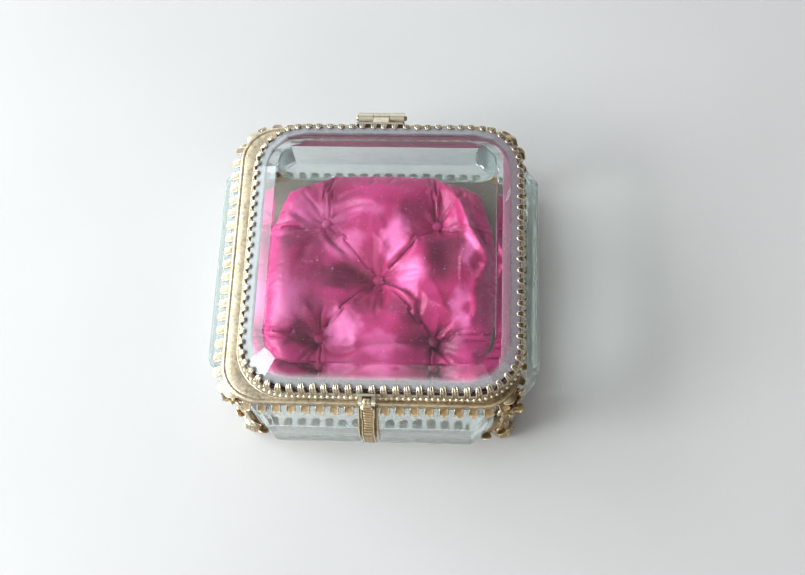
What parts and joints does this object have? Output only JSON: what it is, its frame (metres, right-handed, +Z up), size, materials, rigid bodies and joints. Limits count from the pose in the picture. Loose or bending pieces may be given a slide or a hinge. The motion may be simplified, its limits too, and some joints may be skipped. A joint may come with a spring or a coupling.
{
  "type": "vanity trinket box",
  "caption": "Square trinket casket with bevelled glass sides, a hinged bevelled glass lid in a pronged brass frame, a ribbed hasp, four feet and a tufted satin cushion inside.",
  "frame": {"origin": "centre of the bounding box on the plane the feet stand on", "axes": "+Z up, -Y towards the hasp at the front, +X to the right seen from the front"},
  "size_m": [0.0868, 0.0898, 0.0465],
  "materials": {
    "gilt_brass": "aged gilt, brown in the recesses and bright on the edges",
    "aged_brass": "dull brown brass",
    "bevelled_glass": "clear polished glass, faint blue-green",
    "silk_satin": "magenta silk satin with a strong sheen",
    "card": "plain card"
  },
  "bodies": {
    "casket": {"back_glass": "bevelled_glass", "base_frame": "aged_brass", "body_hinge_leaf": "gilt_brass", "catch_stud": "gilt_brass", "corner_post_back_left": "gilt_brass", "corner_post_back_right": "gilt_brass", "corner_post_front_left": "gilt_brass", "corner_post_front_right": "gilt_brass", "cushion": "silk_satin", "cushion_board": "card", "floor_glass": "bevelled_glass", "foot_back_left": "gilt_brass", "foot_back_right": "gilt_brass", "foot_front_left": "gilt_brass", "foot_front_right": "gilt_brass", "front_glass": "bevelled_glass", "hasp_keeper": "gilt_brass", "hinge_pin": "aged_brass", "left_glass": "bevelled_glass", "right_glass": "bevelled_glass", "tuft_button_back_left": "silk_satin", "tuft_button_back_right": "silk_satin", "tuft_button_centre": "silk_satin", "tuft_button_front_left": "silk_satin", "tuft_button_front_right": "silk_satin", "upper_rim": "gilt_brass"},
    "lid": {"lid_glass": "bevelled_glass", "lid_band": "gilt_brass", "lid_glass_seat": "aged_brass", "lid_hinge_leaf": "gilt_brass", "hasp_bracket": "gilt_brass", "hasp_pin": "aged_brass"},
    "hasp": {"hasp": "gilt_brass"}
  },
  "joints": [
    {"name": "lid_hinge", "type": "hinge", "parent": "casket", "child": "lid", "pos_m": [0, 0.04312, 0.039], "axis": [-1, 0, 0], "range_deg": [0, 105]},
    {"name": "hasp_hinge", "type": "hinge", "parent": "lid", "child": "hasp", "pos_m": [0, -0.03807, 0.0422], "axis": [-1, 0, 0], "range_deg": [0, 110]}
  ]
}
